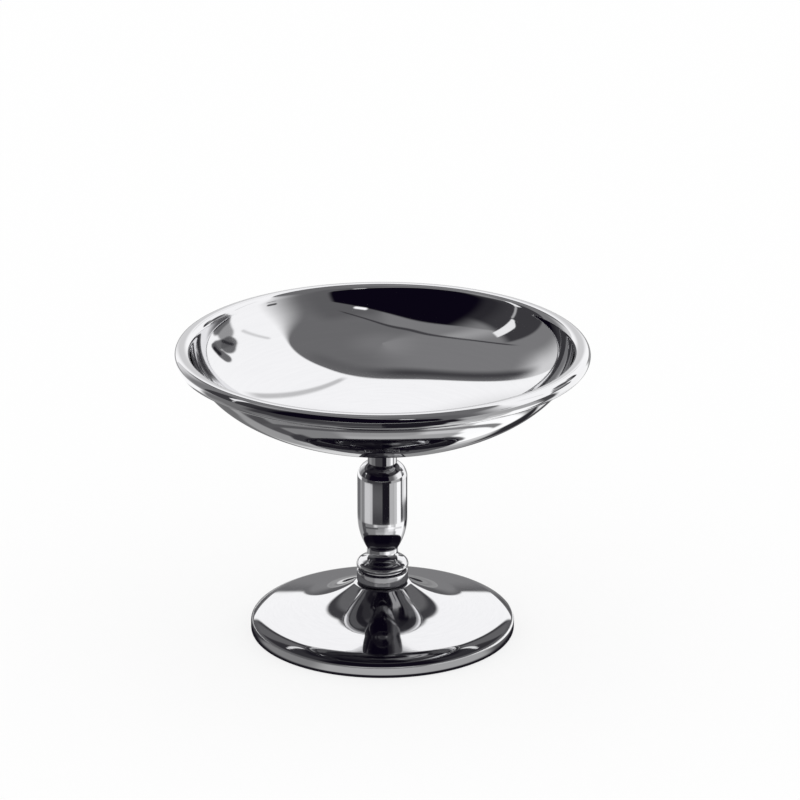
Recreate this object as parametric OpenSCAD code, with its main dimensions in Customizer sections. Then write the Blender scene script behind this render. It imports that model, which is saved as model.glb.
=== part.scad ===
// Footed dessert cup in polished stainless steel. A spun bowl with a rolled rim stands on a turned stem
// and a pressed foot, and a tie rod under the bowl draws the whole stack together.
// Millimetres, +Z up, with the origin on the table under the axis of the cup.

/* [Bowl] */
// Diameter over the rolled rim
rim_d = 110; // [104:1:116]
// Depth from the top of the rim to the underside of the bowl
bowl_depth = 26; // [24:0.1:28]
// Reach of the flat middle: how far its level line draws the dish outwards
dish_reach = 22; // [18:0.5:26]
// Reach of the wall: how far its steep line draws it down from the rim
wall_reach = 15; // [12:0.1:17]
// Steepness of the wall at the rolled rim, in degrees
wall_slope = 76; // [70:0.5:80]
// Thickness of the spun sheet
bowl_t = 0.8; // [0.6:0.05:1]
// Outer radius of the rolled rim
curl_r = 2.2; // [1.9:0.05:2.5]
// How far the sheet is rolled round at the rim, in degrees
curl_turn = 298; // [250:1:300]

/* [Boss under the bowl] */
// Height of the boss at its axis, from the stem to the underside of the bowl
boss_h = 6.6; // [6.2:0.1:8]
// Radius of the cove that flares the boss out to the bowl
boss_cove_r = 3; // [2.5:0.1:3.5]
// Thickness of the flange where the cove ends
boss_lip = 0.9; // [0.7:0.05:1.2]
// Depth of the threaded hole for the tie rod
boss_hole = 4.5; // [4:0.1:4.8]

/* [Stem] */
// Height of the stem between its two faces
stem_h = 25.1; // [22:0.1:30]
// Diameter of its straight middle
stem_d = 13.3; // [12.6:0.1:14.4]
// Diameter of the neck at the top, shared with the boss
neck_d = 7.75; // [7.2:0.05:8.4]
// Diameter of the waist at the bottom, shared with the knop
waist_d = 8.3; // [7.7:0.05:9]
// Radius that turns the middle in to the neck
neck_turn_r = 4.35; // [4:0.05:5]
// Radius that turns the middle in to the waist
waist_turn_r = 16.5; // [14:0.1:20]
// Height of the straight land at the waist
waist_land = 0.9; // [0.5:0.05:1.5]

/* [Knop] */
// Height of the knop from the collar to the waist
knop_h = 5.4; // [5:0.1:6.5]
// Diameter over its bead
bead_d = 13.95; // [13:0.05:15]
// Height of the bead's widest line above the collar
bead_h = 1.45; // [1.3:0.05:1.7]
// Radius of the bead above that line
bead_top_r = 1.85; // [1.5:0.05:2.1]
// Radius of the bead below that line
bead_low_r = 0.9; // [0.7:0.05:1.1]
// Diameter of the groove between bead and collar
groove_d = 12.2; // [11.4:0.1:12.6]

/* [Collar] */
// Height of the collar
collar_h = 3.65; // [3:0.05:5]
// Diameter of the collar
collar_d = 13.7; // [13:0.1:14.4]
// Radius of its lower edge
collar_low_r = 1; // [0.6:0.05:1.4]
// Radius of its upper edge
collar_top_r = 0.3; // [0.2:0.05:0.5]
// Diameter of the spigot that centres the foot
spigot_d = 8.8; // [8:0.1:9.6]

/* [Foot] */
// Diameter of the foot
foot_d = 70.6; // [66:0.2:76]
// Height of the seat under the collar
foot_h = 13.75; // [12.5:0.05:15.5]
// Thickness of the pressed sheet
foot_t = 1; // [0.8:0.05:1.15]
// Radius of the flat seat on the hub
hub_r = 6.9; // [6.6:0.1:7.4]
// Radius of the bend round the seat
hub_bend_r = 1.5; // [1.2:0.1:2]
// Radius at which the sweep of the hub runs out into the slope
sweep_end_r = 23.2; // [21:0.1:25]
// Fall of the slope between hub and edge, in degrees
slope = 9.5; // [8:0.5:11]
// Radius of the roll between slope and edge
roll_r = 7; // [6:0.1:8]
// Steepness at which the roll passes into the shoulder, in degrees
roll_end = 37.5; // [32:0.5:42]
// Radius of the shoulder over the upright edge
shoulder_r = 2.05; // [1.6:0.05:2.4]
// Height of the upright edge, up to its shoulder
edge_h = 2.8; // [2.5:0.05:3.4]
// Outer radius of the bend under the edge
hem_r = 1.25; // [1.2:0.05:1.5]
// Width of the flat that is turned in under the edge
hem_w = 3.6; // [2.5:0.1:5]

/* [Tie rod, washer and nut] */
// Diameter of the tie rod
rod_d = 5; // [4.6:0.1:5.2]
// Chamfer at both ends of the rod
rod_chamfer = 0.6; // [0.4:0.05:0.8]
// Length of rod that stands out below the nut
rod_tail = 1; // [0.7:0.1:2]
// Diameter of the washer
washer_d = 12; // [11:0.1:12.8]
// Thickness of the washer
washer_t = 1; // [0.8:0.05:1.4]
// Width of the nut across its flats
nut_flats = 8; // [7.6:0.1:9]
// Height of the nut
nut_h = 4; // [3.5:0.1:4.7]

/* [Fits] */
// Radial clearance of the rod in the turned pieces and the washer
rod_clear = 0.1; // [0.05:0.01:0.2]
// Radial clearance that stands for the thread in the boss and the nut
thread_clear = 0.04; // [0.02:0.01:0.06]
// Radial clearance of the collar's spigot in the foot
spigot_clear = 0.1; // [0.05:0.01:0.2]
// Gap between the rod's tip and the end of its hole
tip_clear = 0.3; // [0.2:0.05:0.5]
// Brazing gap between boss and bowl
braze_gap = 0.04; // [0.02:0.01:0.06]

/* [Hidden] */
$fn = 128;
// Overrun of every cut past the face that it opens
cut = 1;

// Heights of the stack, from the table up
collar_z = foot_h;
knop_z = collar_z + collar_h;
stem_z = knop_z + knop_h;
boss_z = stem_z + stem_h;
bowl_z = boss_z + boss_h;
cup_h = bowl_z + bowl_depth;

// Radii that several pieces share
foot_r = foot_d / 2;
neck_r = neck_d / 2;
waist_r = waist_d / 2;
stem_r = stem_d / 2;
bead_r = bead_d / 2;
collar_r = collar_d / 2;
spigot_r = spigot_d / 2;
rod_r = rod_d / 2;
rod_hole_r = rod_r + rod_clear;
thread_hole_r = rod_r + thread_clear;

// Points of a section are [radius, height]
function polar(length, angle) = length * [cos(angle), sin(angle)];
function heading(v) = atan2(v[1], v[0]);
// Height of a circle's arc over its centre, at a distance from that centre
function arc_rise(radius, across) = sqrt(radius * radius - across * across);
// Points of an arc about a centre, which carries on from a point at its start
function arc_on(centre, radius, from, to, step = arc_step) =
    let (steps = ceil(abs(to - from) / step))
    [for (i = [1:steps]) centre + polar(radius, from + (to - from) * i / steps)];
// Point and heading of a smooth curve at a part u of its way. It starts at the first of four points towards
// the second, and ends at the last one from the third
function curve_point(four, u) = let (v = 1 - u)
    v * v * v * four[0] + 3 * v * v * u * four[1] + 3 * v * u * u * four[2] + u * u * u * four[3];
function curve_heading(four, u) = let (v = 1 - u)
    heading(v * v * (four[1] - four[0]) + 2 * v * u * (four[2] - four[1]) + u * u * (four[3] - four[2]));

// Section of the bowl: its outer face starts level at the axis and runs on one curve, ever steeper, to the
// rolled rim, whose inner face it touches
curl_c = [rim_d / 2 - curl_r, cup_h - curl_r];
wall_top = curl_c + polar(curl_r - bowl_t, wall_slope + 90);
bowl_curve = [[0, bowl_z], [dish_reach, bowl_z], wall_top - polar(wall_reach, wall_slope), wall_top];
bowl_steps = 24;
// Line of the bowl's sheet at a given depth inside its outer face, from the axis to the rim
function bowl_line(depth) = [
    for (i = [0:bowl_steps])
        curve_point(bowl_curve, i / bowl_steps) + polar(depth, curve_heading(bowl_curve, i / bowl_steps) + 90)
];

// Section of the foot, worked out from its edge inwards: shoulder, roll and slope touch in turn, and the
// sweep of the hub touches both the slope and the bend round the seat
shoulder_c = [foot_r - shoulder_r, edge_h];
roll_c = shoulder_c + polar(shoulder_r - roll_r, 90 - roll_end);
slope_low = roll_c + polar(roll_r, 90 - slope);
slope_high = [sweep_end_r, slope_low[1] + (slope_low[0] - sweep_end_r) * tan(slope)];
hub_bend_c = [hub_r, foot_h - hub_bend_r];
sweep_run = slope_high - hub_bend_c;
sweep_r = (sweep_run * sweep_run - hub_bend_r * hub_bend_r) / (2 * (hub_bend_r - sweep_run * polar(1, 90 - slope)));
sweep_c = slope_high + polar(sweep_r, 90 - slope);
sweep_start = heading(hub_bend_c - sweep_c);
hem_c = [foot_r - hem_r, hem_r];
// Turn between two points of the foot's arcs, and of the small rolled rim, in degrees
arc_step = 5;
curl_step = 10;

// Disc of a section
module disc(centre, radius) {
    translate(centre) circle(radius);
}

// Upright rectangle of a section between two radii and two heights
module ring_section(inner, outer, low, high) {
    translate([inner, low]) square([outer - inner, high - low]);
}

// What a rounded edge takes off the outer corner of a rectangle, at its top for 1 and its bottom for -1
module edge_round(corner, radius, up) {
    translate(corner)
        scale([1, up])
            translate([-radius, -radius])
                difference() {
                    square(radius + cut);
                    circle(radius);
                }
}

module turned() {
    rotate_extrude() children();
}

// Bowl: one spun sheet, with its rim rolled outwards into a hollow bead that stays open underneath
module bowl() {
    inside = bowl_line(bowl_t);
    curl_start = wall_slope + 90;
    curl_end = curl_start - curl_turn;
    color([0.84, 0.84, 0.86])
        turned()
            polygon([
                each bowl_line(0),
                each arc_on(curl_c, curl_r - bowl_t, curl_start, curl_end, curl_step),
                curl_c + polar(curl_r, curl_end),
                each arc_on(curl_c, curl_r, curl_end, curl_start, curl_step),
                for (i = [len(inside) - 2:-1:0]) inside[i]
            ]);
}

// Boss: turned neck that flares in a cove to a saucer, brazed under the dish of the bowl
module boss() {
    boss_r = neck_r + boss_cove_r;
    seat = bowl_line(-braze_gap);
    cove_z = lookup(boss_r, seat) - boss_lip - boss_cove_r;
    color([0.78, 0.78, 0.8])
        turned()
            difference() {
                ring_section(0, boss_r, boss_z, bowl_z + boss_lip);
                polygon([each seat, [0, cup_h]]);
                disc([boss_r, cove_z], boss_cove_r);
                ring_section(neck_r, boss_r + cut, boss_z - cut, cove_z);
                ring_section(0, thread_hole_r, boss_z - cut, boss_z + boss_hole);
            }
}

// Stem: turned baluster, bored through, drawn in by one arc to the neck and by a longer one to the waist
module stem() {
    shoulder_z = boss_z - arc_rise(neck_turn_r, neck_r - stem_r + neck_turn_r);
    land_z = stem_z + waist_land;
    taper_z = land_z + arc_rise(waist_turn_r, waist_r - stem_r + waist_turn_r);
    color([0.8, 0.8, 0.82])
        turned() {
            ring_section(rod_hole_r, waist_r, stem_z, land_z);
            ring_section(rod_hole_r, stem_r, taper_z, shoulder_z);
            intersection() {
                disc([stem_r - waist_turn_r, taper_z], waist_turn_r);
                ring_section(rod_hole_r, stem_r, land_z, taper_z);
            }
            intersection() {
                disc([stem_r - neck_turn_r, shoulder_z], neck_turn_r);
                ring_section(rod_hole_r, stem_r, shoulder_z, boss_z);
            }
        }
}

// Knop: turned ring whose cove spreads from the waist into a bead, with a groove under the bead
module knop() {
    bead_z = knop_z + bead_h;
    bead_c = [bead_r - bead_top_r, bead_z];
    rise = stem_z - bead_z;
    reach = waist_r - bead_c[0];
    cove_r = (rise * rise + reach * reach - bead_top_r * bead_top_r) / (2 * (bead_top_r - reach));
    cove_c = [waist_r + cove_r, stem_z];
    color([0.78, 0.78, 0.8])
        turned()
            difference() {
                union() {
                    ring_section(rod_hole_r, groove_d / 2, knop_z, bead_z);
                    ring_section(rod_hole_r, bead_r - bead_low_r, bead_z - bead_low_r, bead_z);
                    intersection() {
                        disc([bead_r - bead_low_r, bead_z], bead_low_r);
                        ring_section(rod_hole_r, bead_r, bead_z - bead_low_r, bead_z);
                    }
                    intersection() {
                        disc(bead_c, bead_top_r);
                        ring_section(rod_hole_r, bead_r, bead_z, bead_z + bead_top_r);
                    }
                    polygon([[rod_hole_r, bead_z], bead_c, cove_c, [rod_hole_r, stem_z]]);
                }
                disc(cove_c, cove_r);
            }
}

// Collar: turned ring with a soft lower edge, and a spigot that centres the foot
module collar() {
    color([0.76, 0.76, 0.78])
        turned() {
            difference() {
                ring_section(rod_hole_r, collar_r, collar_z, knop_z);
                edge_round([collar_r, collar_z], collar_low_r, -1);
                edge_round([collar_r, knop_z], collar_top_r, 1);
            }
            ring_section(rod_hole_r, spigot_r, collar_z - foot_t + spigot_clear, collar_z);
        }
}

// Line of the foot's sheet at a given depth under its outer face, from the seat out, down and in again
function foot_line(depth) = [
    [spigot_r + spigot_clear, foot_h - depth],
    [hub_r, foot_h - depth],
    each arc_on(hub_bend_c, hub_bend_r - depth, 90, sweep_start + 180),
    each arc_on(sweep_c, sweep_r + depth, sweep_start, -90 - slope),
    slope_low - polar(depth, 90 - slope),
    each arc_on(roll_c, roll_r - depth, 90 - slope, 90 - roll_end),
    each arc_on(shoulder_c, shoulder_r - depth, 90 - roll_end, 0),
    [foot_r - depth, hem_r],
    each arc_on(hem_c, hem_r - depth, 0, -90),
    [hem_c[0] - hem_w, depth]
];

// Foot: one pressed sheet that sweeps down from the hub, slopes out to a rolled shoulder and an upright
// edge, and is turned in flat under that edge
module foot() {
    inside = foot_line(foot_t);
    color([0.82, 0.82, 0.84])
        turned()
            polygon([each foot_line(0), for (i = [len(inside) - 1:-1:0]) inside[i]]);
}

// Heights of the fastening under the hub
washer_z = foot_h - foot_t - washer_t;
nut_z = washer_z - nut_h;
rod_z = nut_z - rod_tail;
rod_top = boss_z + boss_hole - tip_clear;

// Tie rod: screwed into the boss and passed down through the stack
module tie_rod() {
    color([0.62, 0.62, 0.64])
        turned()
            polygon([
                [0, rod_z], [rod_r - rod_chamfer, rod_z], [rod_r, rod_z + rod_chamfer],
                [rod_r, rod_top - rod_chamfer], [rod_r - rod_chamfer, rod_top], [0, rod_top]
            ]);
}

// Washer: flat ring between the nut and the hub
module washer() {
    color([0.7, 0.7, 0.72])
        turned()
            ring_section(rod_hole_r, washer_d / 2, washer_z, washer_z + washer_t);
}

// Nut: hexagon with both corners turned off at 30 degrees
module nut() {
    corner_r = nut_flats / 2 / cos(30);
    drop = (corner_r - nut_flats / 2) * tan(30);
    color([0.66, 0.66, 0.68])
        difference() {
            intersection() {
                translate([0, 0, nut_z]) cylinder(h = nut_h, r = corner_r, $fn = 6);
                turned()
                    polygon([
                        [0, nut_z], [nut_flats / 2, nut_z], [corner_r, nut_z + drop],
                        [corner_r, washer_z - drop], [nut_flats / 2, washer_z], [0, washer_z]
                    ]);
            }
            translate([0, 0, nut_z - cut]) cylinder(h = nut_h + 2 * cut, r = thread_hole_r);
        }
}

bowl();
boss();
stem();
knop();
collar();
foot();
tie_rod();
washer();
nut();
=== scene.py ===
import math

import bpy
import numpy as np
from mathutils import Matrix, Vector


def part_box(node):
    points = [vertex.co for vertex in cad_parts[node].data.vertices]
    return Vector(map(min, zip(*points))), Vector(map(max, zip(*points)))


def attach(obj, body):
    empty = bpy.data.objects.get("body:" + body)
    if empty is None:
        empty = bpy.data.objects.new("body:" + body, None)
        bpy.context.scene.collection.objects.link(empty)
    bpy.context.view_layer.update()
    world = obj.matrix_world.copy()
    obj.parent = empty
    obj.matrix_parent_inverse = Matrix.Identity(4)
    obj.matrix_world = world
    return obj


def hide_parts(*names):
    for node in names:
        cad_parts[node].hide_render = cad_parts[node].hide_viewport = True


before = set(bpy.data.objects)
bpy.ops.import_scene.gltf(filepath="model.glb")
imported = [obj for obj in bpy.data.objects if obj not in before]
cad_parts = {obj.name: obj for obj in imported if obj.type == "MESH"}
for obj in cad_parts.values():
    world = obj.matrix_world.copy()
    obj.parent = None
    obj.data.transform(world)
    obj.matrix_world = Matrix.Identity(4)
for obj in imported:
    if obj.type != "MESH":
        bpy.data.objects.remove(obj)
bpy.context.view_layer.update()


# Camera. It looks down on the cup from 1.4 m away, through a long lens, as the photograph does.
CAMERA_AT = (0.0047, -1.3, 0.531)  # metres
CAMERA_TILT = 70.29  # degrees up from straight down
CAMERA_LENS, CAMERA_SENSOR = 234.9, 36  # millimetres

camera = bpy.data.objects.new("camera", bpy.data.cameras.new("camera"))
bpy.context.scene.collection.objects.link(camera)
camera.location = CAMERA_AT
camera.rotation_euler = (math.radians(CAMERA_TILT), 0, 0)
camera.data.lens = CAMERA_LENS
camera.data.sensor_width = CAMERA_SENSOR
camera.data.clip_start = 0.01
camera.data.clip_end = 20
bpy.context.scene.camera = camera
bpy.context.scene.view_settings.view_transform = "Standard"


# Foot. One stainless sheet, pressed into a broad dish that sweeps down from a flat seat and slopes out to
# a rolled shoulder and an upright edge, which is turned in flat on the table. The collar's spigot centres
# it. Its sizes, like those of every piece, are in millimetres and degrees.
FOOT_R = 35.3
FOOT_T = 1.0  # thickness of the sheet
FOOT_HOLE_R = 4.5
SEAT_R = 6.9
BEND_R = 1.5  # bend from the seat down
SWEEP_END = 23.2  # radius where the sweep runs into the slope
SLOPE = 9.5
ROLL_R = 7.0  # arc from the slope to the shoulder
ROLL_END = 37.5  # how steep the roll is where the shoulder begins
SHOULDER_R = 2.05
EDGE_H = 2.8  # top of the upright edge
HEM_R = 1.25  # bend under the edge
HEM_W = 3.6  # flat on the table, inside that bend
MM_PER_M = 1000


def levels(node):
    """The lowest and the highest point of a CAD node, to a hundredth of a millimetre."""
    low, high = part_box(node)
    return round(MM_PER_M * low[2], 2), round(MM_PER_M * high[2], 2)


FOOT_H = levels("foot")[1]


def ray(length, degrees):
    """A step of a given length along a direction: length * (cos t, sin t), as [radius, height]."""
    return length * np.array([math.cos(math.radians(degrees)), math.sin(math.radians(degrees))])


def heading(step):
    """The direction of a step in degrees: atan(height / radius), in the right quarter."""
    return math.degrees(math.atan2(step[1], step[0]))


def arc(centre, radius, start, end, step=1.5):
    """Points of a circle: centre + radius * (cos t, sin t), with t even from start to end, in degrees."""
    t = np.radians(np.linspace(start, end, max(2, 1 + math.ceil(abs(end - start) / step))))
    return np.asarray(centre) + radius * np.stack([np.cos(t), np.sin(t)], 1)


def line(start, end, step=1.0):
    """Points of a straight line: start + t (end - start), with t even from 0 to 1, at most a step apart."""
    start, end = np.asarray(start, float), np.asarray(end, float)
    steps = max(1, math.ceil(np.linalg.norm(end - start) / step))
    return start + (end - start) * np.linspace(0, 1, steps + 1)[:, None]


SAME = 1e-6  # points nearer to each other than this are one point
CRISP = 30  # corners that turn by more than this stay crisp


def turned(name, profile, around=240):
    """A piece turned on the cup's axis. Point (i, j) is (r_i cos a_j, r_i sin a_j, z_i), where (r_i, z_i)
    is the profile and a_j runs once round. The profile goes round the section with the solid on its left,
    and is either a closed ring or starts and ends on the axis, where a row is a single point."""
    p = np.vstack(profile)
    p = p[np.r_[True, np.linalg.norm(np.diff(p, axis=0), axis=1) > SAME]]
    if np.linalg.norm(p[0] - p[-1]) < SAME:
        p = p[:-1]
    a = np.arange(around) * 2 * np.pi / around
    grid = np.stack([p[:, :1] * np.cos(a), p[:, :1] * np.sin(a), p[:, 1:] + 0 * a], 2)

    on_axis = p[:, :1] < SAME
    count = np.where(on_axis, 1, around)
    rows = np.cumsum(count)[:, None] - count + np.where(on_axis, 0, np.arange(around))
    _, first = np.unique(rows, return_index=True)
    low, high = rows, np.roll(rows, -1, 0)
    if on_axis.any():
        low, high = low[:-1], high[:-1]
    quads = np.stack([low, np.roll(low, -1, 1), np.roll(high, -1, 1), high], 2).reshape(-1, 4)
    faces = [list(dict.fromkeys(quad)) for quad in quads.tolist()]

    mesh = bpy.data.meshes.new(name)
    mesh.from_pydata(grid.reshape(-1, 3)[first] / MM_PER_M, [], faces)
    mesh.shade_smooth()
    mesh.set_sharp_from_angle(angle=math.radians(CRISP))
    piece = bpy.data.objects.new(name, mesh)
    bpy.context.scene.collection.objects.link(piece)
    return piece


def foot_line(depth):
    """The sheet's line at a depth under its outer face, from the hole in the seat out, down and in again.
    Each arc touches the next. The sweep touches the slope from above and the seat's bend from outside, with
    a radius R = (|run|^2 - b^2) / 2 (b - run . n), n being the slope's normal and b the bend's radius."""
    shoulder = np.array([FOOT_R - SHOULDER_R, EDGE_H])
    roll = shoulder + ray(SHOULDER_R - ROLL_R, 90 - ROLL_END)
    low = roll + ray(ROLL_R, 90 - SLOPE)
    high = np.array([SWEEP_END, low[1] + (low[0] - SWEEP_END) * math.tan(math.radians(SLOPE))])
    bend = np.array([SEAT_R, FOOT_H - BEND_R])
    run = high - bend
    sweep_r = (run @ run - BEND_R**2) / (2 * (BEND_R - run @ ray(1, 90 - SLOPE)))
    sweep = high + ray(sweep_r, 90 - SLOPE)
    start = heading(bend - sweep)
    hem = [FOOT_R - HEM_R, HEM_R]
    return [
        line([FOOT_HOLE_R, FOOT_H - depth], [SEAT_R, FOOT_H - depth]),
        arc(bend, BEND_R - depth, 90, start + 180, step=3),
        arc(sweep, sweep_r + depth, start, -90 - SLOPE, step=0.6),
        line(high - ray(depth, 90 - SLOPE), low - ray(depth, 90 - SLOPE)),
        arc(roll, ROLL_R - depth, 90 - SLOPE, 90 - ROLL_END),
        arc(shoulder, SHOULDER_R - depth, 90 - ROLL_END, 0, step=3),
        line([FOOT_R - depth, EDGE_H], [FOOT_R - depth, HEM_R], step=0.4),
        arc(hem, HEM_R - depth, 0, -90, step=5),
        line([hem[0], depth], [hem[0] - HEM_W, depth]),
    ]


foot = turned("foot_pressing", foot_line(FOOT_T) + [part[::-1] for part in foot_line(0)[::-1]])
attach(foot, "root")
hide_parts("foot")


class Value:
    """One output of a shader node. Python's operators on it add the Math nodes that work them out."""

    def __init__(self, tree, socket):
        self.tree, self.socket = tree, socket

    def out(self, name):
        """Another output of the same node."""
        return Value(self.tree, self.socket.node.outputs[name])

    def math(self, operation, *others):
        """A Math node of this value and the others."""
        return put(self.tree, "Math", {"operation": operation}, dict(enumerate((self, *others))))

    def __add__(self, other):
        return self.math("ADD", other)

    def __mul__(self, other):
        return self.math("MULTIPLY", other)

    __radd__, __rmul__ = __add__, __mul__

    def __sub__(self, other):
        return self.math("SUBTRACT", other)

    def __rsub__(self, other):
        return put(self.tree, "Math", {"operation": "SUBTRACT"}, {0: other, 1: self})

    def __truediv__(self, other):
        return self.math("DIVIDE", other)

    def __pow__(self, other):
        return self.math("POWER", other)

    def __abs__(self):
        return self.math("ABSOLUTE")

    def over(self, other):
        """The larger of the two."""
        return self.math("MAXIMUM", other)

    def under(self, other):
        """The smaller of the two."""
        return self.math("MINIMUM", other)

    def ramp(self, low, high):
        """0 below low, 1 above high, and a smooth step between them."""
        settings = {"interpolation_type": "SMOOTHSTEP"}
        return put(self.tree, "MapRange", settings, {0: self, 1: low, 2: high})


def put(tree, kind, settings, inputs):
    """Adds a shader node of a kind, sets it up, then fills or links its inputs by name or number. Gives its
    first output, if it has one."""
    node = tree.nodes.new("ShaderNode" + kind)
    for name, value in settings.items():
        setattr(node, name, value)
    for name, value in inputs.items():
        if isinstance(value, Value):
            tree.links.new(value.socket, node.inputs[name])
        else:
            node.inputs[name].default_value = value
    return Value(tree, node.outputs[0]) if len(node.outputs) else None


def blank(piece, name):
    """A new material, with an empty node tree, as a piece's only one."""
    material = bpy.data.materials.new(name)
    material.use_nodes = True
    material.node_tree.nodes.clear()
    piece.data.materials.clear()
    piece.data.materials.append(material)
    return material


def spot(tree, kind="Object"):
    """A point's place in the cup's own space, in metres, or with "Normal" the way that its face looks."""
    return put(tree, "TexCoord", {}, {}).out(kind)


def split(vector):
    """The x, y and z of a vector."""
    parts = put(vector.tree, "SeparateXYZ", {}, {0: vector})
    return [parts.out(axis) for axis in "XYZ"]


def grain(tree, stretch, scale, detail=2.0):
    """Noise that runs round the axis. It reads (r, z, s x / r, s y / r), where r and z are the place in
    the cup's section, in metres, and s is the stretch. So a grain is r / s times as long round the axis as
    it is wide."""
    x, y, z = split(spot(tree))
    r = (x * x + y * y) ** 0.5
    place = put(tree, "CombineXYZ", {}, {0: r, 1: z, 2: x / r * stretch})
    inputs = {"Vector": place, "W": y / r * stretch, "Scale": scale, "Detail": detail}
    return put(tree, "TexNoise", {"noise_dimensions": "4D"}, inputs)


def cloud(tree, scale, detail=2.0):
    """Plain noise in the cup's own space."""
    return put(tree, "TexNoise", {}, {"Vector": spot(tree), "Scale": scale, "Detail": detail})


def between(tree, mask, first, second, clamp=True):
    """A colour between two others, the first where the mask is 0 and the second where it is 1."""
    settings = {"data_type": "RGBA", "clamp_factor": clamp}
    return put(tree, "Mix", settings, {0: mask, 6: (*first, 1), 7: (*second, 1)}).out(2)


def steel(tree, tint, rough, relief, **others):
    """Ends a steel's shader. The relief is pairs of a height and its depth in metres, one on the other."""
    normal = {}
    for height, depth in relief:
        normal = {"Normal": put(tree, "Bump", {}, {"Height": height, "Distance": depth, **normal})}
    inputs = {"Base Color": tint, "Roughness": rough, "Metallic": 1.0, **normal, **others}
    put(tree, "OutputMaterial", {}, {0: put(tree, "BsdfPrincipled", {}, inputs)})


# Its steel: mirror-polished above, with the buff's fine rings, faint smudges and the slight ripple of a
# pressing, and left duller on the faces that look down
MICRON = 1e-6
FOOT_TINTS = (0.80, 0.80, 0.815), (0.86, 0.86, 0.872)

tree = blank(foot, "foot_steel").node_tree
rings = grain(tree, stretch=0.004, scale=1500)
smudge = cloud(tree, scale=70, detail=4).ramp(0.42, 0.72)
below = 1 - split(spot(tree, "Normal"))[2].ramp(-0.6, -0.2)
tint = between(tree, rings, *FOOT_TINTS)
rough = 0.025 + 0.035 * smudge + 0.02 * rings + 0.2 * below
ripple = cloud(tree, scale=45)
steel(tree, tint, rough, [(ripple, 9 * MICRON), (rings, 0.6 * MICRON)])


# Collar. A plain ring turned from bar, with a soft lower edge, that stands on the foot's seat. The spigot
# under it fits the hole in the foot, and the tie rod passes through its bore.
COLLAR_R = 6.85
COLLAR_LOW_R = 1.0  # rounding of the lower edge
COLLAR_TOP_R = 0.3  # rounding of the upper edge
SPIGOT_R = 4.4
BORE_R = 2.6  # bore for the tie rod, the same in every turned piece
SPIGOT_Z, COLLAR_TOP = levels("collar")

low_edge, top_edge = COLLAR_R - COLLAR_LOW_R, COLLAR_R - COLLAR_TOP_R
collar = turned("collar_ring", [
    line([BORE_R, SPIGOT_Z], [SPIGOT_R, SPIGOT_Z]),
    line([SPIGOT_R, FOOT_H], [low_edge, FOOT_H]),
    arc([low_edge, FOOT_H + COLLAR_LOW_R], COLLAR_LOW_R, -90, 0, step=4),
    line([COLLAR_R, FOOT_H + COLLAR_LOW_R], [COLLAR_R, COLLAR_TOP - COLLAR_TOP_R], step=0.25),
    arc([top_edge, COLLAR_TOP - COLLAR_TOP_R], COLLAR_TOP_R, 0, 90, step=8),
    line([top_edge, COLLAR_TOP], [BORE_R, COLLAR_TOP]),
    line([BORE_R, COLLAR_TOP], [BORE_R, SPIGOT_Z], step=2),
])
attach(collar, "root")
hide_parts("collar")

# Its steel, which the knop, the stem and the boss share: a finer grain and no ripple
TURNED_TINTS = (0.79, 0.79, 0.806), (0.85, 0.85, 0.864)

turned_steel = blank(collar, "turned_steel")
tree = turned_steel.node_tree
marks = grain(tree, stretch=0.01, scale=2600, detail=3)
smudge = cloud(tree, scale=150, detail=3).ramp(0.45, 0.7)
tint = between(tree, marks, *TURNED_TINTS)
steel(tree, tint, 0.025 + 0.035 * smudge + 0.025 * marks, [(marks, 0.8 * MICRON)])


# Knop. A turned ring: a bead with a groove below it, drawn in above by a cove to the stem's waist. It is
# held between the collar and the stem. The cove's circle touches the bead and is upright at the waist.
BEAD_R = 6.975
BEAD_Z = 18.85  # height of the bead's middle
BEAD_TOP_R = 1.85  # rounding of the bead above its middle
BEAD_LOW_R = 0.9  # and below it
GROOVE_R = 6.1
WAIST_R = 4.15
STEM_Z = levels("knop")[1]

bead = np.array([BEAD_R - BEAD_TOP_R, BEAD_Z])
bead_low = BEAD_Z - BEAD_LOW_R
reach, rise = WAIST_R - bead[0], STEM_Z - BEAD_Z
cove_r = (rise**2 + reach**2 - BEAD_TOP_R**2) / (2 * (BEAD_TOP_R - reach))
cove = np.array([WAIST_R + cove_r, STEM_Z])
touch = heading(cove - bead)
knop = turned("knop_bead", [
    line([BORE_R, COLLAR_TOP], [GROOVE_R, COLLAR_TOP]),
    line([GROOVE_R, COLLAR_TOP], [GROOVE_R, bead_low], step=0.2),
    line([GROOVE_R, bead_low], [BEAD_R - BEAD_LOW_R, bead_low], step=0.1),
    arc([BEAD_R - BEAD_LOW_R, BEAD_Z], BEAD_LOW_R, -90, 0, step=3),
    arc(bead, BEAD_TOP_R, 0, touch, step=2),
    arc(cove, cove_r, touch + 180, 180, step=2),
    line([WAIST_R, STEM_Z], [BORE_R, STEM_Z]),
    line([BORE_R, STEM_Z], [BORE_R, COLLAR_TOP], step=2),
])
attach(knop, "root")
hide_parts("knop")
knop.data.materials.append(turned_steel)


# Stem. A baluster turned from bar and bored through: a short land at the waist, one long arc out to the
# straight middle, and one short arc in to the neck. It stands on the knop.
STEM_R = 6.65
NECK_R = 3.875
WAIST_LAND = 0.9
WAIST_TURN_R = 16.5  # the long arc
NECK_TURN_R = 4.35  # the short arc
BOSS_Z = levels("stem")[1]

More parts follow.
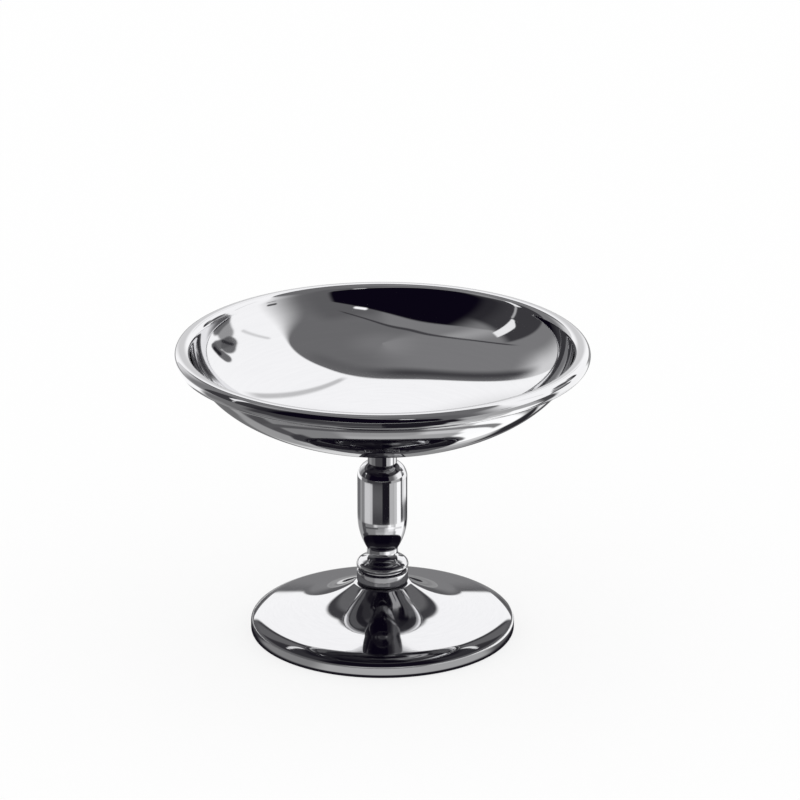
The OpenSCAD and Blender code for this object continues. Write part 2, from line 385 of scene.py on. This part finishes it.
waist_turn = math.acos((WAIST_R - STEM_R + WAIST_TURN_R) / WAIST_TURN_R)
neck_turn = math.acos((NECK_R - STEM_R + NECK_TURN_R) / NECK_TURN_R)
taper_z = STEM_Z + WAIST_LAND + WAIST_TURN_R * math.sin(waist_turn)
shoulder_z = BOSS_Z - NECK_TURN_R * math.sin(neck_turn)
stem = turned("stem_baluster", [
    line([BORE_R, STEM_Z], [WAIST_R, STEM_Z]),
    line([WAIST_R, STEM_Z], [WAIST_R, STEM_Z + WAIST_LAND], step=0.15),
    arc([STEM_R - WAIST_TURN_R, taper_z], WAIST_TURN_R, -math.degrees(waist_turn), 0, step=0.5),
    line([STEM_R, taper_z], [STEM_R, shoulder_z], step=0.5),
    arc([STEM_R - NECK_TURN_R, shoulder_z], NECK_TURN_R, 0, math.degrees(neck_turn)),
    line([NECK_R, BOSS_Z], [BORE_R, BOSS_Z]),
    line([BORE_R, BOSS_Z], [BORE_R, STEM_Z], step=2),
])
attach(stem, "root")
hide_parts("stem")
stem.data.materials.append(turned_steel)


# Boss. The turned neck under the bowl. It flares in a cove to a thin lip, its top follows the underside of
# the dish, which is brazed on it, and a blind hole from below is threaded for the tie rod.
COVE_R = 3.0
LIP = 0.9  # thickness of the lip at its edge
BRAZE = 0.04  # gap that the braze fills
HOLE_R = 2.54
HOLE = 4.5  # depth of the hole
BOSS_R = NECK_R + COVE_R
RIM_R = 55.0
CURL_R = 2.2  # outside of the rolled rim
BOWL_T = 0.8  # thickness of the bowl's sheet
DISH_REACH = 22.0  # pull of the level middle on the bowl's curve
WALL_REACH = 15.0  # and of the steep wall
WALL_SLOPE = 76.0
BOWL_Z, CUP_H = levels("bowl")
curl = np.array([RIM_R - CURL_R, CUP_H - CURL_R])


def bowl_line(depth, steps=120):
    """The bowl's sheet at a depth inside its outer face, from the axis to the rim. The outer face is the
    cubic curve v^3 a + 3 v^2 u b + 3 v u^2 c + u^3 d, with v = 1 - u, level at the axis and steep at the
    rolled rim, and the depth is laid off along its normal."""
    u = np.linspace(0, 1, steps + 1)[:, None]
    v = 1 - u
    a, b = np.array([0, BOWL_Z]), np.array([DISH_REACH, BOWL_Z])
    d = curl + ray(CURL_R - BOWL_T, WALL_SLOPE + 90)
    c = d - ray(WALL_REACH, WALL_SLOPE)
    run = v * v * (b - a) + 2 * v * u * (c - b) + u * u * (d - c)
    normal = np.stack([-run[:, 1], run[:, 0]], 1) / np.linalg.norm(run, axis=1)[:, None]
    return v**3 * a + 3 * v * v * u * b + 3 * v * u * u * c + u**3 * d + depth * normal


# The boss's top takes every fourth point of the braze's line, and the one on the axis
braze_line = bowl_line(-BRAZE, steps=400)
lip_top = np.array([BOSS_R, np.interp(BOSS_R, braze_line[:, 0], braze_line[:, 1])])
lip_z = lip_top[1] - LIP
boss = turned("boss_saucer", [
    line([0, BOSS_Z + HOLE], [HOLE_R, BOSS_Z + HOLE]),
    line([HOLE_R, BOSS_Z + HOLE], [HOLE_R, BOSS_Z], step=0.5),
    line([HOLE_R, BOSS_Z], [NECK_R, BOSS_Z]),
    line([NECK_R, BOSS_Z], [NECK_R, lip_z - COVE_R], step=0.2),
    arc([BOSS_R, lip_z - COVE_R], COVE_R, 180, 90, step=2),
    line([BOSS_R, lip_z], lip_top, step=0.2),
    braze_line[braze_line[:, 0] < BOSS_R][::-4],
    braze_line[:1],
])
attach(boss, "root")
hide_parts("boss")
boss.data.materials.append(turned_steel)


# Bowl. One stainless sheet, spun into a shallow dish with a steeper wall. Its rim is rolled outwards, over
# and back under, into a hollow bead that stays open underneath. The dish is brazed on the boss.
CURL_TURN = 298.0
curl_start, curl_end = WALL_SLOPE + 90, WALL_SLOPE + 90 - CURL_TURN
bowl = turned("bowl_shell", [
    bowl_line(0),
    arc(curl, CURL_R - BOWL_T, curl_start, curl_end, step=10),
    arc(curl, CURL_R, curl_end, curl_start, step=4),
    bowl_line(BOWL_T)[::-1],
], around=288)
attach(bowl, "root")
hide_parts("bowl")

# Its steel: the mirror polish of a spun sheet, with fine rings, smudges and a few hair scratches
BOWL_TINTS = (0.81, 0.81, 0.825), (0.865, 0.865, 0.877)

tree = blank(bowl, "bowl_steel").node_tree
rings = grain(tree, stretch=0.003, scale=1300, detail=3)
smudge = cloud(tree, scale=55, detail=4).ramp(0.42, 0.72)
slanted = put(tree, "Mapping", {}, {"Vector": spot(tree), "Rotation": (0, 0, 0.6), "Scale": (1, 0.03, 1)})
scratches = put(tree, "TexNoise", {}, {"Vector": slanted, "Scale": 2500, "Detail": 1}).ramp(0.7, 0.74)
hairs = scratches * cloud(tree, scale=90).ramp(0.5, 0.6)
tint = between(tree, rings, *BOWL_TINTS)
rough = 0.02 + 0.035 * smudge + 0.015 * rings + 0.06 * hairs
ripple = cloud(tree, scale=38)
steel(tree, tint, rough, [(ripple, 8 * MICRON), (rings, 0.4 * MICRON)])


# Tie rod. A stainless rod, screwed into the boss and passed down through the stack. Its lower end carries
# the nut, and its thread shows on the last millimetre.
PITCH = 0.8
THREAD_DEPTH = 0.22
ROD_TINTS = (0.58, 0.58, 0.6), (0.68, 0.68, 0.695)

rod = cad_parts["tie_rod"]
tree = blank(rod, "rod_steel").node_tree
x, y, z = split(spot(tree))
wind = z / (PITCH / MM_PER_M) - y.math("ARCTAN2", x) / (2 * math.pi)
thread = abs(wind.math("FRACT") * 2 - 1)
marks = grain(tree, stretch=0.02, scale=3000, detail=3)
tint = between(tree, marks, *ROD_TINTS)
steel(tree, tint, 0.24 + 0.12 * marks, [(thread, THREAD_DEPTH / MM_PER_M), (marks, 2 * MICRON)])


# Washer. A plain stainless washer under the foot's hub, turned and faced on both sides. The nut presses it
# against the foot.
WASHER_TINTS = (0.6, 0.6, 0.615), (0.69, 0.69, 0.7)

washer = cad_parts["washer"]
tree = blank(washer, "washer_steel").node_tree
marks = grain(tree, stretch=0.01, scale=4200)
tint = between(tree, marks, *WASHER_TINTS)
steel(tree, tint, 0.22 + 0.16 * marks, [(marks, 4 * MICRON)], Anisotropic=0.4)


# Nut. Cut from stainless hexagon bar, with the drawn bar's lines down its flats, and screwed up on the tie
# rod against the washer.
NUT_TINTS = (0.56, 0.56, 0.575), (0.66, 0.66, 0.675)

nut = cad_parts["nut"]
tree = blank(nut, "nut_steel").node_tree
upright = put(tree, "Mapping", {}, {"Vector": spot(tree), "Scale": (1, 1, 0.02)})
drawn = put(tree, "TexNoise", {}, {"Vector": upright, "Scale": 5000, "Detail": 2})
dull = cloud(tree, scale=300, detail=3)
tint = between(tree, dull, *NUT_TINTS)
steel(tree, tint, 0.24 + 0.1 * drawn + 0.08 * dull, [(drawn, 4 * MICRON)])


# Studio. Plain soft light and a white table. The cup is a mirror, so what it shows is the room round it:
# each room below is a large glowing ball that only the named pieces mirror, and that nothing else sees.
# Directions are in degrees: turn is 0 at the back, 90 on the right and 180 behind the camera, and lift is
# 90 overhead.
DARK = (0.0035, 0.0022, 0.0075)
WHITE = 1.06  # tone of a lit backdrop
FADE = 0.9  # share of the light that is lost at the second reflection
DEGREES = 180 / math.pi

world = bpy.data.worlds.new("studio")
bpy.context.scene.world = world
world.use_nodes = True
world.cycles.sampling_method = "NONE"
tree = world.node_tree
tree.nodes.clear()
glossy = put(tree, "LightPath", {}, {}).out("Is Glossy Ray")
seen = between(tree, glossy, (1, 1, 1), DARK)
put(tree, "OutputWorld", {}, {0: put(tree, "Background", {}, {"Color": seen, "Strength": 1.0})})


def ball(radius, around=48, down=24):
    """Points and faces of a ball: (R sin b cos a, R sin b sin a, R cos b), with a once round and b from top
    to bottom."""
    a, b = np.arange(around) * 2 * np.pi / around, np.linspace(0, np.pi, down + 1)[:, None]
    points = radius * np.stack([np.sin(b) * np.cos(a), np.sin(b) * np.sin(a), np.cos(b) + 0 * a], 2)
    rows = np.arange((down + 1) * around).reshape(down + 1, around)
    low, high = rows[:-1], rows[1:]
    faces = np.stack([low, high, np.roll(high, -1, 1), np.roll(low, -1, 1)], 2)
    return points.reshape(-1, 3), faces.reshape(-1, 4)


def square(half, height):
    """Points and faces of a level square centred on the axis: (+-half, +-half, height)."""
    corners = [(-half, -half), (half, -half), (half, half), (-half, half)]
    return [(x, y, height) for x, y in corners], [(0, 1, 2, 3)]


def prop(name, points, faces):
    """A mesh that belongs to the studio and not to the cup."""
    mesh = bpy.data.meshes.new(name)
    mesh.from_pydata(points, [], faces)
    thing = bpy.data.objects.new(name, mesh)
    bpy.context.scene.collection.objects.link(thing)
    return thing


def screen(name, shape, pieces):
    """A glowing shape that only the named pieces mirror, and nothing else sees. Gives its empty tree."""
    thing = prop(name, *shape)
    thing.visible_camera = False
    thing.visible_diffuse = False
    thing.visible_shadow = False
    glow = blank(thing, name + "_glow")
    glow.cycles.emission_sampling = "NONE"
    mirrors = bpy.data.collections.new(name + "_mirrored_by")
    for piece in pieces:
        mirrors.objects.link(piece)
    thing.light_linking.receiver_collection = mirrors
    return glow.node_tree


def shine(tree, level):
    """Ends a screen's shader: it gives off the level and is otherwise clear."""
    grey = between(tree, level, (0, 0, 0), (1, 1, 1), clamp=False)
    lamp = put(tree, "Emission", {}, {"Color": grey, "Strength": 1.0})
    both = put(tree, "AddShader", {}, {0: lamp, 1: put(tree, "BsdfTransparent", {}, {})})
    put(tree, "OutputMaterial", {}, {0: both})


def bearing(tree):
    """The turn and the lift of a point of the studio's wall."""
    x, y, z = split(put(tree, "VectorMath", {"operation": "NORMALIZE"}, {0: spot(tree)}))
    return x.math("ARCTAN2", y) * DEGREES, z.math("ARCSINE") * DEGREES


def band(value, low, high, soft):
    """1 where a value lies between two others, with soft edges."""
    return value.ramp(low - soft, low + soft) * (1 - value.ramp(high - soft, high + soft))


def stroke(turn, lift, start, end, half, soft):
    """1 on a straight band between two points of the wall, each given as (turn, lift). The band reaches
    half its width to either side, with soft edges."""
    (t0, l0), (t1, l1) = start, end
    dt, dl = t1 - t0, l1 - l0
    along = (((turn - t0) * dt + (lift - l0) * dl) / (dt * dt + dl * dl)).over(0).under(1)
    off_t, off_l = turn - t0 - along * dt, lift - l0 - along * dl
    return 1 - ((off_t * off_t + off_l * off_l) ** 0.5).ramp(half - soft, half + soft)


def shade(level, mask, tone):
    """A level, turned to a tone inside a mask."""
    return level + mask * (tone - level)


def fading(tree, share=1.0):
    """What is left of the light at the second reflection and after it, when a share of it fades."""
    depth = put(tree, "LightPath", {}, {}).out("Glossy Depth")
    return 1 - share * FADE * (depth - 1).over(0).under(1)


# Tones of the high rooms, from black at 0 to white at 1
CEILING, CEILING_LEFT, CEILING_MIDDLE = 0.16, 0.055, 0.04  # the last two are added
SIDE_GLOW = 0.5  # added too
DIM_WALL, DARK_WALL = 0.12, 0.045
VALANCE, VALANCE_END, TRIM = 0.22, 0.14, 0.03
WINDOW, SLIT, LAMP = 0.95, 0.45, 1.15
BORDER, FOLD = 0.05, 0.3

# Things in front of the backdrop, each a stroke: from, to, half its width, softness and tone
THINGS = (
    ((66, 15), (68, 8), 7.5, 1.5, 0.3),
    ((61, 6), (73, 4), 4.0, 1.5, 0.14),
    ((60, 2), (76, 1.5), 2.2, 0.8, 0.01),
    ((56, 24), (61, 23.5), 5.8, 1.0, 0.11),
    ((52, 15), (60, 22), 4.2, 1.0, 0.11),
    ((45.8, 24.2), (47.4, 20.5), 3.4, 0.8, 0.11),
    ((47.6, 18.5), (49.8, 12.5), 2.6, 0.8, 0.1),
    ((47, 19), (48.6, 14), 1.5, 0.7, 0.012),
    ((60, 26), (58.6, 18), 1.4, 0.8, 0.02),
    ((78, 44), (77, 26), 1.5, 1.4, 0.7),
    ((108, 9), (112, 10), 1.6, 0.6, 0.05),
)


def high_room(name, radius, pieces, share, clear):
    """The room of the bowl, and that of the stem and the boss. Below the clear lift, a share of it fades at
    the second reflection."""
    tree = screen(name, ball(radius), pieces)
    turn, lift = bearing(tree)

    # Grey ceiling, a glow low beside the backdrop, and a dim wall in front on the right
    level = CEILING + CEILING_LEFT * turn.ramp(-150, -110) * (1 - turn.ramp(-35, 25))
    level = level + CEILING_MIDDLE * lift.ramp(74, 88)
    level = level + SIDE_GLOW * turn.ramp(-57, -36) * (1 - turn.ramp(-30, -20)) * (1 - lift.ramp(20, 38))
    level = shade(level, turn.ramp(122, 140) * (1 - lift.ramp(48, 62)), DIM_WALL)

    # The dark half behind the camera, and the grey valance over it with its dark trim. The turn is counted
    # leftwards from the back here, on past the camera, so that nothing breaks at 180
    on = turn - 360 * turn.ramp(-0.01, 0.01)
    trim_lift = 72.5 - 29 * abs((on + 141) / 72) ** 3.2
    dark_lift = 60.5 - 0.0068 * (on + 142) * (on + 142)
    valance = (lift - dark_lift).ramp(-1, 2) * (1 - (lift - trim_lift).ramp(-2, 1))
    valance = valance * on.ramp(-190, -170) * (1 - on.ramp(-80, -64))
    level = shade(level, valance, VALANCE + VALANCE_END * band(on, -100, -84, 8))
    trim = (1 - abs(lift - trim_lift).ramp(0.5, 2.0)) * on.ramp(-214, -208) * (1 - on.ramp(-68, -62))
    level = shade(level, trim * 0.85, TRIM)
    left_wall = (1 - on.ramp(-71, -68)) * on.ramp(-126, -108) * (1 - lift.ramp(37, 44))
    level = shade(level, left_wall, DARK_WALL)
    dark = (1 - (lift - dark_lift).ramp(-1.2, 1.2)) * on.ramp(-214, -210) * (1 - on.ramp(-122, -96))
    level = shade(level, dark, 0.0)

    # A leaning window on the left with a slit below it, and a small lamp
    lean = lift * lift * 0.0035 - 93
    window = band(turn - lean, 0, 2.6 + 5 * lift.ramp(19, 28), 0.6) * band(lift, 20, 43.5, 1)
    level = shade(level, window, WINDOW)
    level = shade(level, stroke(turn, lift, (-93.5, 4), (-92, 18), 0.9, 0.6), SLIT)
    level = shade(level, stroke(turn, lift, (161.5, 42), (167, 44.8), 1.9, 1.2), LAMP)

    # The lit backdrop. Its edge is where |(turn - 30) / w|^p + (lift / 62)^5 comes to 1, with a w and a p
    # for either side. A dark border runs round its upper left, and a fold goes down its middle
    side = ((30 - turn) / 62).over(0) ** 5 + ((turn - 30) / 82).over(0) ** 1.45
    edge = side + (lift.over(0) / 62) ** 5
    border = band(edge, 1.1, 1.7, 0.35) * (1 - 0.7 * turn.ramp(-15, 20)) * (1 - turn.ramp(40, 70))
    level = shade(level, border * lift.ramp(18, 34), BORDER)
    haze = 0.04 + 0.3 * turn.ramp(70, 120)
    lit = WHITE * (1 - 0.34 * band(turn, -20, 12, 8) * (1 - lift.ramp(22, 42)))
    level = shade(level, 1 - ((edge - 1) / haze).ramp(-1, 1), lit)
    fold_turn = 22 - (lift - 25) * (lift - 25) * 0.0038
    fold = (1 - abs(turn - fold_turn).ramp(0.5, 2.2)) * (1 - lift.ramp(57, 61)) * lift.ramp(20, 28)
    level = shade(level, fold * 0.6, FOLD)
    for start, end, half, soft, tone in THINGS:
        level = shade(level, stroke(turn, lift, start, end, half, soft) * 0.95, tone)

    # The low right end of the backdrop fades altogether
    right_end = band(turn, 63, 79, 2) * (1 - lift.ramp(28, 34))
    fade = (share * (1 - lift.ramp(clear, clear + 7))).over(right_end)
    shine(tree, level * fading(tree, fade))


high_room("bowl_room", radius=29, pieces=(bowl,), share=0.7, clear=8)
high_room("stem_room", radius=30, pieces=(stem, boss), share=1.0, clear=90)


# Tones of the low rooms
LOW_CEILING, BRIM, BRIM_MIDDLE = 0.11, 0.05, 0.085  # the brim over the backdrop, lighter in its middle
BESIDE, OVERHEAD, BEHIND_HIGH, BEHIND_LOW = 0.032, 0.06, 0.01, 0.002
SIDE_LAMPS, LOW_SIDES, LOW_BACK = 0.85, 0.12, 0.22


def low_room(name, radius, pieces, reach, front, upper):
    """The room of the foot, the collar and the fastening, and that of the knop, the same on both hands. The
    reach is how far round its backdrop goes, front is the tone of its low front, and upper is the lifts
    between which the backdrop ends."""
    tree = screen(name, ball(radius), pieces)
    turn, lift = bearing(tree)
    turn = abs(turn)

    # Dim walls, darker to the front, and two lamps high on either hand
    brim = BRIM + BRIM_MIDDLE * band(turn, 29, 49, 3) * (1 - lift.ramp(50, 54))
    level = shade(LOW_CEILING, lift.ramp(13, 22), brim)
    level = shade(level, turn.ramp(48, 56) * lift.ramp(14, 26), BESIDE)
    level = shade(level, lift.ramp(52, 58) * turn.ramp(30, 50), BEHIND_HIGH)
    level = shade(level, turn.ramp(112, 135) * lift.ramp(5, 20), BEHIND_LOW)
    level = shade(level, lift.ramp(60, 75), OVERHEAD)
    for start, end, half in (((64, 45), (44, 52.5), 1.7), ((76, 37), (70, 42), 1.6)):
        level = shade(level, stroke(turn, lift, start, end, half, 0.9), SIDE_LAMPS)

    # What stands low: the sides, the front and the foot of the backdrop, and then the backdrop itself
    level = shade(level, band(turn, 50, 140, 8) * (1 - lift.ramp(4, 9)), LOW_SIDES)
    level = shade(level, turn.ramp(140, 160) * (1 - lift.ramp(4, 8)), front)
    level = shade(level, (1 - turn.ramp(7, 12)) * (1 - lift.ramp(8, 14)), LOW_BACK)
    edge = turn + 0.25 * lift - 7.5 - reach
    backdrop = (1 - edge.ramp(-2, 1.5)) * (lift + 0.3 * turn).ramp(14.5, 16) * (1 - lift.ramp(*upper))
    level = shade(level, backdrop, WHITE)
    shine(tree, level * fading(tree, lift.ramp(3, 7).over(0.78 * turn.ramp(140, 160))))


low_pieces = (foot, collar, rod, washer, nut)
low_room("low_room", radius=31, pieces=low_pieces, reach=23, front=0.7, upper=(44, 47))
low_room("middle_room", radius=32, pieces=(knop,), reach=58, front=0.005, upper=(31, 42))


def polar(tree):
    """The turn of a point on the table, and its distance from the cup's axis in millimetres."""
    x, y, _ = split(spot(tree))
    return x.math("ARCTAN2", y) * DEGREES, (x * x + y * y) ** 0.5 * MM_PER_M


def sectors(tone, way, rows):
    """A tone, turned to another in each sector. A row has the sector's two turns, softness and tone."""
    for low, high, soft, other in rows:
        tone = shade(tone, band(way, low, high, soft), other)
    return tone


# The table, a hair below the cup. Its tones in a mirror are painted light and shade, and go by the turn,
# here way, and the distance, away: first those near the foot, with a ring of painted shade just
# outside the rim
TABLE_HALF, TABLE_Z = 4, -5e-5  # metres
TABLE_COLOUR = (0.98, 0.98, 0.98)
TABLE_GLOW = 0.8  # share of its white that is glow to the camera, and holds no shadow
NEAR_END, FAR_END = (80, 92), (135, 165)  # distances over which one set of tones gives way to the next

table = prop("table", *square(TABLE_HALF, TABLE_Z))
table_white = blank(table, "table_white")
table_white.cycles.emission_sampling = "NONE"
tree = table_white.node_tree
way, away = polar(tree)
near = sectors(0.34 + 0.09 * (1 - away.ramp(43, 50)), way, (
    (-30, -2, 5, 0.7), (-2, 30, 5, 0.28), (30, 45, 4, 0.4), (45, 60, 4, 0.65),
    (-99, -74, 4, 0.085), (-148, -99, 6, 0.24), (118, 152, 6, 0.62), (60, 118, 4, 1.15)))
near = shade(near, band(way, 128, 150, 6) * away.ramp(56, 62), 0.8)
near = shade(near, band(way, 112, 160, 6) * (1 - away.ramp(48, 52)), 0.4)
near = shade(near, band(way, 30, 60, 3) * away.ramp(58, 70), 0.03)
near = shade(near, band(way, -105, -60, 6) * (1 - away.ramp(44, 48)), 0.045)
near = shade(near, band(way, 70, 120, 6) * (1 - away.ramp(39, 42)), 0.12)
near = shade(near, abs(way).ramp(150, 162) * away.ramp(58, 63), 0.025)
ring_tone = 0.1 + 0.14 * way.ramp(-10, 10) * (1 - way.ramp(146, 158))
near = shade(near, abs(way).ramp(72, 82) * band(away, 59, 66.5, 1.5), ring_tone)

# Farther out
far = sectors(0.055 + 0.06 * band(away, 100, 122, 9), way, (
    (-60, -13, 5, 0.17), (-13, -1, 3, 0.32), (0, 15, 4, 0.26), (15, 30, 3, 0.16), (30, 60, 3, 0.02),
    (60, 75, 3, 0.3), (75, 88, 2, 0.06), (88, 112, 3, 1.15), (112, 126, 2, 0.6), (126, 148, 2, 0.5),
    (148, 180, 3, 0.008), (-75, -60, 4, 0.36), (-91, -75, 4, 0.26), (-123, -91, 4, 0.17)))
far = shade(far, band(way, 40, 78, 6) * away.ramp(99, 108), 0.9)

# And all that lies beyond, up to the table's edge
beyond = sectors(0.01 + 0.04 * (1 - way.ramp(-10, 10)), way, (
    (-75, -13, 6, 1.1), (-13, 35, 6, 0.3), (35, 78, 4, 1.05), (80, 92, 2, 0.07), (92, 140, 4, 0.42),
    (-108, -75, 6, 0.18)))
beyond = shade(beyond, band(way, -80, 20, 8) * away.ramp(450, 700), 0.34)
beyond = shade(beyond, abs(way).ramp(140, 160) * away.ramp(900, 1600), 0.5)

# The three together, with painted shade round the foot's edge and painted light under its hollow
tone = shade(near, away.ramp(*NEAR_END), far)
tone = shade(tone, away.ramp(*FAR_END), beyond)
tone = shade(tone, 1 - away.ramp(36.8, 38.4), 0.008)
tone = shade(tone, 1 - away.ramp(24, 32), 0.3)
kept = 0.25 * band(way, 55, 170, 8) * (1 - away.ramp(80, 90))
painted_light_and_shade = tone * fading(tree, 1 - kept)

# To the camera the table is white and takes the cup's shadow, a mirror sees its painted tones of light and
# shade, and from below it is clear
path = put(tree, "LightPath", {}, {})
matt = put(tree, "BsdfDiffuse", {}, {"Color": (*TABLE_COLOUR, 1)})
glow = put(tree, "Emission", {}, {"Color": (1, 1, 1, 1), "Strength": 1.0})
plain = put(tree, "MixShader", {}, {0: TABLE_GLOW * path.out("Is Camera Ray"), 1: matt, 2: glow})
colour = between(tree, painted_light_and_shade, DARK, (1, 1, 1), clamp=False)
mirrored = put(tree, "Emission", {}, {"Color": colour, "Strength": 1.0})
above = put(tree, "MixShader", {}, {0: path.out("Is Glossy Ray"), 1: plain, 2: mirrored})
back = put(tree, "NewGeometry", {}, {}).out("Backfacing")
clear = put(tree, "BsdfTransparent", {}, {})
put(tree, "OutputMaterial", {}, {0: put(tree, "MixShader", {}, {0: back, 1: above, 2: clear})})

# Strips of painted light on the table, which only the stem mirrors
STRIPS_HALF, STRIPS_Z = 0.2, 1e-4  # metres
tree = screen("table_strips", square(STRIPS_HALF, STRIPS_Z), (stem,))
way, away = polar(tree)
level = 0.4 * abs(way).ramp(136, 146) * band(away, 69, 87, 3)
level = level + 0.5 * band(way, -135, -92, 4) * band(away, 86, 126, 4)
level = level + 0.16 * band(way, 45, 60, 3) * band(away, 84, 126, 4)
level = level + (0.6 * band(way, 76, 158, 6) + 0.22 * abs(way).ramp(156, 164)) * band(away, 59, 66.5, 1.5)
level = level + 0.33 * band(way, 126, 168, 8) * (1 - away.ramp(66, 71))
shine(tree, level * fading(tree))
